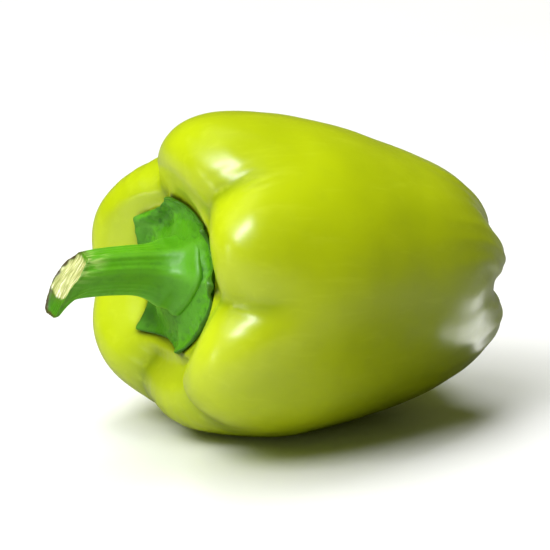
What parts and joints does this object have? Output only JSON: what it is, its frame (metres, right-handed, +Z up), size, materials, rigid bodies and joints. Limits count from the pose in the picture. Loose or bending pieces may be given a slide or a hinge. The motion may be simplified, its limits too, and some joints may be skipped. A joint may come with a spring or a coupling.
{
  "type": "bell pepper",
  "caption": "Pale green bell pepper lying on its side, with a lobed, tapering fruit, a toothed calyx and a thick bent stem.",
  "frame": {"origin": "on the surface it rests on, at the middle of the bounding box's bottom", "axes": "+X towards the blossom end, the stem points to -X and slightly up; +Z up; +Y completes the right-handed frame"},
  "size_m": [0.1184, 0.0798, 0.0794],
  "materials": {
    "fruit": "glossy waxy skin, pale yellow-green",
    "calyx": "satin, dark leaf green",
    "stem": "satin, fresh green"
  },
  "bodies": {
    "root": {"fruit": "fruit", "calyx": "calyx", "stem": "stem"}
  },
  "joints": []
}
